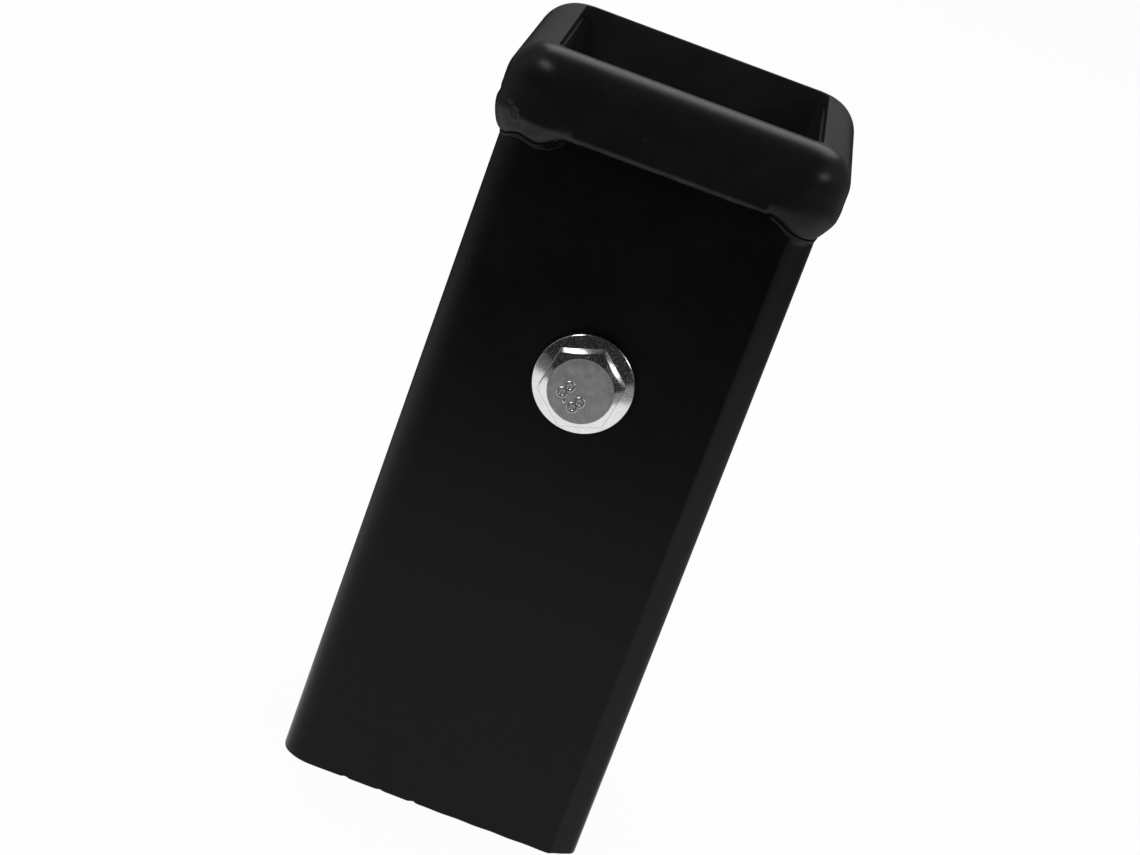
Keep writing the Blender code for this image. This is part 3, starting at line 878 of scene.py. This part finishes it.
def new_group(name, inputs, outputs):
    """A shader node group with named number inputs, a vector input, and named outputs."""
    tree = bpy.data.node_groups.new(name, "ShaderNodeTree")
    tree.interface.new_socket("Vector", in_out="INPUT", socket_type="NodeSocketVector")
    for label, value in inputs.items():
        socket = tree.interface.new_socket(label, in_out="INPUT", socket_type="NodeSocketFloat")
        socket.default_value = value
    for label in outputs:
        tree.interface.new_socket(label, in_out="OUTPUT", socket_type="NodeSocketFloat")
    sheet = NodeSheet(tree)
    return tree, sheet, sheet.add("NodeGroupInput"), sheet.add("NodeGroupOutput")


def make_specks_group():
    """Small scattered specks: cells of a Voronoi pattern whose middle is near enough, kept in one cell out of
    several by the cell's own random colour."""
    inputs = {"Per metre": 900.0, "Radius": 0.1, "Share": 0.2}
    tree, sheet, given, out = new_group("fine_specks", inputs, ["Mask"])
    place = {"Vector": given.outputs["Vector"], "Scale": given.outputs["Per metre"]}
    cells = sheet.add("ShaderNodeTexVoronoi", place)
    size = sheet.less(given.outputs["Radius"], cells.outputs["Distance"])
    inside = sheet.spread(sheet.times(size, SPECK_CRISPNESS), 0, 1, 0, 1)
    pick = sheet.add("ShaderNodeSeparateColor", {"Color": cells.outputs["Color"]}).outputs[0]
    kept = sheet.math("LESS_THAN", pick, given.outputs["Share"])
    tree.links.new(sheet.times(inside, kept), out.inputs["Mask"])
    return tree


def make_mottle_group():
    """Soft uneven tone: two noises of different size, mixed and spread to the range 0 to 1."""
    tree, sheet, given, out = new_group("soft_mottle", {"Per metre": 300.0}, ["Value"])
    where, per_metre = given.outputs["Vector"], given.outputs["Per metre"]
    coarse = sheet.noise(where, per_metre, 3.0, 0.55)
    fine = sheet.noise(where, sheet.times(per_metre, 5.0), 2.0, 0.6)
    mixed = sheet.plus(sheet.times(coarse, COARSE_SHARE), sheet.times(fine, 1 - COARSE_SHARE))
    tree.links.new(sheet.spread(mixed, *MOTTLE_RANGE, 0, 1), out.inputs["Value"])
    return tree


def new_material(name):
    """A material with a bare Principled shader, its node sheet and the object coordinates."""
    material = bpy.data.materials.new(name)
    material.use_nodes = True
    sheet = NodeSheet(material.node_tree)
    shader = material.node_tree.nodes["Principled BSDF"]
    where = sheet.add("ShaderNodeTexCoord").outputs["Object"]
    return material, sheet, shader, where


def two_tone(sheet, share, dark, light):
    """A colour between two, by a share. Each colour is a socket, one grey, or three numbers. The Mix node's
    sockets are told by number, because their names are the same for every kind of value."""
    inputs = {0: share}
    for number, colour in ((6, dark), (7, light)):
        if isinstance(colour, float):
            colour = (colour, colour, colour)
        inputs[number] = (*colour, 1) if isinstance(colour, tuple) else colour
    return sheet.add("ShaderNodeMix", inputs, data_type="RGBA").outputs[2]


def painted_edge_highlight(sheet, where, x, beside, z):
    """Share of the patchy painted highlight along the collar's lower edge and on the welds below it: low on
    the collar, clear of the tube's rounded surface, and fading out on the right."""
    across = sheet.math("ABSOLUTE", x)
    ahead, aside = (sheet.larger(sheet.less(reach, TUBE_CENTRE), 0.0) for reach in (beside, across))
    off_tube = sheet.less(sheet.distance(aside, ahead), TUBE_CORNER)
    low = sheet.spread(z, *EDGE_HIGHLIGHT_RISE, 1, 0)
    low = sheet.times(low, sheet.spread(off_tube, *EDGE_HIGHLIGHT_CLEAR, 0, 1))
    low = sheet.times(low, sheet.spread(x, *EDGE_HIGHLIGHT_END, 1, 0))
    patches = sheet.spread(sheet.noise(where, 330.0, 2.0), *EDGE_HIGHLIGHT_NOISE, *EDGE_HIGHLIGHT_PATCHES)
    return sheet.times(low, patches)


def black_powder_coat(specks, mottle):
    """Satin black powder coat: fine orange peel, slow waves, faint pale specks, paler paint on the collar and
    in the bore, a patchy painted highlight along the collar's lower edge and the welds below it, and the mark
    that the bolt's flange pressed into the paint round it."""
    material, sheet, shader, where = new_material("black_powder_coat")
    tone = sheet.group(mottle, {"Vector": where, "Per metre": 60.0})
    dust = sheet.group(specks, {"Vector": where, "Per metre": 160.0, "Radius": 0.04, "Share": 0.6})
    x, y, z = sheet.parts(where)
    beside = sheet.apart(y, AXIS_Y)
    wide = sheet.larger(sheet.math("ABSOLUTE", x), beside)
    inside = sheet.spread(wide, *BORE_PALENESS_EDGE, 1, 0)
    # The collar is paler than the tube below it, and the bore is paler still
    level = sheet.more(TUBE_BLACK, sheet.spread(z, *COLLAR_PALENESS_EDGE, 0, 1), COLLAR_PALENESS)
    level = sheet.more(level, inside, BORE_PALENESS)
    # Painted highlight: paler colour along the collar's lower edge and the left welds, standing in for their
    # shine
    level = sheet.more(level, painted_edge_highlight(sheet, where, x, beside, z), EDGE_HIGHLIGHT)
    level = sheet.times(level, sheet.spread(tone, 0, 1, *PAINT_MOTTLE))
    level = sheet.more(level, dust, SPECK_DUST)
    sheet.tree.links.new(level, shader.inputs["Base Color"])
    reach = sheet.distance(x, sheet.less(z, BOLT_HEIGHT))
    ring = sheet.spread(sheet.apart(reach, PRESSED_RADIUS), *PRESSED_EDGE, 1, 0)
    ring = sheet.times(ring, sheet.spread(sheet.noise(where, 70.0, 1.0), *PRESSED_NOISE, 0, 1))
    relief = sheet.times(sheet.noise(where, 900.0, 2.0, 0.45), PEEL_HEIGHT)
    relief = sheet.more(relief, sheet.noise(where, 95.0, 1.0), WAVE_HEIGHT)
    relief = sheet.more(relief, ring, PRESSED_HEIGHT)
    relief = sheet.more(relief, dust, SPECK_HEIGHT)
    sheet.bump(relief, shader)
    sheet.tree.links.new(sheet.spread(tone, 0, 1, *PAINT_ROUGHNESS), shader.inputs["Roughness"])
    shader.inputs["Specular IOR Level"].default_value = PAINT_SPECULAR
    return material


def head_masks(sheet, where):
    """Masks on the bolt's head: its matte disc with the marks' tops, the tops alone, the marks' sides, the
    painted shade line along the hexagon's edges, and the flats."""
    x, y, z = sheet.parts(where)
    reach = sheet.distance(x, sheet.less(z, BOLT_HEIGHT))
    near = sheet.spread(reach, *DISC_EDGE, 1, 0)
    across = []
    for step in range(3):
        turn = HEAD_TURN + math.radians(30 + 60 * step)
        flat = (math.cos(turn), 0, math.sin(turn))
        along = sheet.add("ShaderNodeVectorMath", {0: where, 1: flat}, operation="DOT_PRODUCT")
        across.append(sheet.apart(along.outputs["Value"], BOLT_HEIGHT * flat[2]))
    hexagon = sheet.larger(sheet.larger(across[0], across[1]), across[2])
    flats = sheet.spread(sheet.apart(hexagon, HEX_FLATS / 2 + FLATS_OFFSET), *FLATS_EDGE, 1, 0)
    height = sheet.less(AXIS_Y + DISC_FACE, y)
    off_chamfer = sheet.more(height, sheet.less(reach, HEX_TOP / 2), math.tan(CHAMFER_SLOPE))
    # Painted shade: a dark line along the flats' top edge, under the chamfer
    edge = sheet.times(flats, sheet.math("GREATER_THAN", off_chamfer, -SHADE_LINE_WIDTH))
    on_face = sheet.math("LESS_THAN", sheet.math("ABSOLUTE", height), FACE_DEPTH)
    on_top = sheet.math("GREATER_THAN", height, MARK_TOP * MARK_RISE)
    disc = sheet.times(near, sheet.larger(on_face, on_top))
    above_face = sheet.math("GREATER_THAN", height, -FACE_DEPTH)
    side = sheet.less(sheet.times(near, above_face), disc)
    return disc, on_top, side, edge, flats


def bright_zinc(specks, mottle):
    """Bright zinc plating: mirror-like on the rolled faces with pale crystals, and grey, mottled and matte on
    the head's sheared top. A painted shade line runs along the flats under the chamfer, and the marks' tops
    are darkened as painted shade."""
    material, sheet, shader, where = new_material("bright_zinc")
    cloud = sheet.group(mottle, {"Vector": where, "Per metre": 700.0})
    grain = sheet.noise(where, 6500.0, 2.0, 0.6)
    crystal = sheet.group(specks, {"Vector": where, "Per metre": 5200.0, "Radius": 0.26, "Share": 0.42})
    disc, on_top, side, edge, flats = head_masks(sheet, where)
    # Painted shade: the dark grey line along the flats is mixed into the zinc's colour
    bright = two_tone(sheet, edge, two_tone(sheet, cloud, *ZINC_COLOURS), SHADE_LINE_GREY)
    grey = sheet.spread(grain, *GRAIN_NOISE, 0, 1)
    rub = sheet.more(sheet.times(cloud, 1 - GRAIN_SHARE), grey, GRAIN_SHARE)
    # Painted shade: the marks' tops are darkened so that their sides stand out bright
    matte = two_tone(sheet, sheet.times(on_top, SHADED_TOP_SHARE), two_tone(sheet, rub, *DISC_COLOURS), SHADED_TOP_GREY)
    sheet.tree.links.new(two_tone(sheet, disc, bright, matte), shader.inputs["Base Color"])
    shine = sheet.spread(cloud, 0, 1, *ZINC_ROUGHNESS)
    dull = sheet.spread(cloud, 0, 1, *DISC_ROUGHNESS)
    rough = sheet.plus(sheet.times(disc, sheet.less(dull, shine)), shine)
    for mask, rougher in ((crystal, CRYSTAL_ROUGHER), (side, SIDE_ROUGHER), (flats, FLATS_ROUGHER)):
        rough = sheet.more(rough, mask, rougher)
    sheet.tree.links.new(rough, shader.inputs["Roughness"])
    relief = sheet.times(grain, GRAIN_HEIGHT)
    relief = sheet.more(relief, crystal, CRYSTAL_HEIGHT)
    relief = sheet.more(relief, sheet.times(cloud, disc), DISC_HEIGHT)
    sheet.bump(relief, shader)
    shader.inputs["Metallic"].default_value = 1.0
    return material


def painted_floor_pool(sheet):
    """How bright shiny things mirror the floor, a painted pool of light: full near the object, ending by a
    smooth step in an oval distance, with a painted shadow straight behind it, and fading more slowly at both
    sides."""
    x, y, _ = sheet.parts(sheet.add("ShaderNodeTexCoord").outputs["Object"])
    behind = sheet.less(y, AXIS_Y)
    reach = sheet.distance(x, behind)
    near = sheet.step(sheet.distance(sheet.times(x, POOL_SQUEEZE), behind), *POOL_EDGE, POOL_LEVEL, 0.0)
    # Painted shadow: the pool dims straight behind the object
    near = sheet.times(near, sheet.step(sheet.math("DIVIDE", behind, reach), *POOL_TURN, 1.0, POOL_SHADOW))
    aside = sheet.math("DIVIDE", x, reach)
    right = sheet.step(aside, *FLANK_RIGHT_TURN, 0.0, FLANK_RIGHT)
    left = sheet.step(aside, *FLANK_LEFT_TURN, 0.0, FLANK_LEFT)
    far = sheet.step(reach, *FLANK_EDGE, 1.0, FLANK_FAR)
    return sheet.larger(near, sheet.times(sheet.larger(right, left), far))


def white_floor():
    """A white floor: a plain diffuse surface, lifted to white for the camera, which leaves the object's
    shadow soft on it. Shiny things mirror it as a painted pool of light, with a painted shadow behind the
    object."""
    mesh = bpy.data.meshes.new("floor")
    corners = [(x * FLOOR_REACH, y * FLOOR_REACH, 0) for x, y in ((-1, -1), (1, -1), (1, 1), (-1, 1))]
    mesh.from_pydata(corners, [], [(0, 1, 2, 3)])
    floor = new_object("floor", mesh)
    material = bpy.data.materials.new("white_floor")
    material.use_nodes = True
    tree = material.node_tree
    tree.nodes.remove(tree.nodes["Principled BSDF"])
    sheet = NodeSheet(tree)
    paint = sheet.add("ShaderNodeBsdfDiffuse", {"Color": (FLOOR_GREY, FLOOR_GREY, FLOOR_GREY, 1)})
    path = sheet.add("ShaderNodeLightPath").outputs
    shiny = sheet.larger(path["Is Glossy Ray"], path["Is Transmission Ray"])
    strength = sheet.more(path["Is Camera Ray"], shiny, painted_floor_pool(sheet))
    glow = sheet.add("ShaderNodeEmission", {"Color": (1, 1, 1, 1), "Strength": strength})
    share = sheet.more(shiny, path["Is Camera Ray"], FLOOR_LIFT)
    mix = sheet.add("ShaderNodeMixShader", {0: share, 1: paint.outputs[0], 2: glow.outputs[0]})
    tree.links.new(mix.outputs[0], tree.nodes["Material Output"].inputs["Surface"])
    mesh.materials.append(material)


def studio_light():
    """A dark room that is white to the camera, a little paler behind the object, and the soft boxes in it."""
    world = bpy.data.worlds.new("studio")
    bpy.context.scene.world = world
    world.use_nodes = True
    sheet = NodeSheet(world.node_tree)
    depth = sheet.parts(sheet.add("ShaderNodeTexCoord").outputs["Generated"])[1]
    dark = sheet.spread(depth, *ROOM_TURN, ROOM_AHEAD, ROOM_BEHIND)
    path = sheet.add("ShaderNodeLightPath").outputs
    ambient = sheet.more(dark, path["Is Diffuse Ray"], ROOM_AMBIENT)
    background = world.node_tree.nodes["Background"]
    sheet.tree.links.new(sheet.larger(path["Is Camera Ray"], ambient), background.inputs["Strength"])
    background.inputs["Color"].default_value = (1, 1, 1, 1)
    target = Vector((0, AXIS_Y, LIT_HEIGHT))
    for name, direction, distance, width, height, brightness in SOFT_BOXES:
        lamp = bpy.data.lights.new(name, "AREA")
        lamp.shape = "RECTANGLE"
        lamp.size, lamp.size_y = width, height
        lamp.energy = brightness * math.pi * width * height
        box = new_object(name, lamp)
        box.location = target + distance * Vector(direction).normalized()
        box.rotation_euler = (target - box.location).to_track_quat("-Z", "Y").to_euler()
        box.visible_camera = False


def photo_camera():
    """The photograph's camera: where it stands, and its right, up and backward directions."""
    camera = new_object("camera", bpy.data.cameras.new("camera"))
    camera.data.sensor_width = SENSOR_WIDTH
    camera.data.lens = SENSOR_WIDTH * FOCAL_PIXELS / PHOTO_WIDTH
    right, up = Vector(CAMERA_RIGHT).normalized(), Vector(CAMERA_UP)
    back = right.cross(up).normalized()
    turn = Matrix((right, back.cross(right), back)).transposed()
    place = Vector(CAMERA_PLACE) * MM + Vector((0, AXIS_Y, 0))
    camera.matrix_world = Matrix.Translation(place) @ turn.to_4x4()
    bpy.context.scene.camera = camera


specks, mottle = make_specks_group(), make_mottle_group()
black = black_powder_coat(specks, mottle)
zinc = bright_zinc(specks, mottle)
photo_camera()
white_floor()
studio_light()
add_receiver_tube(black)
add_collar_with_beads(black)
add_flange_bolt(zinc)
add_flange_nut(zinc)
bpy.context.scene.view_settings.view_transform = "Standard"
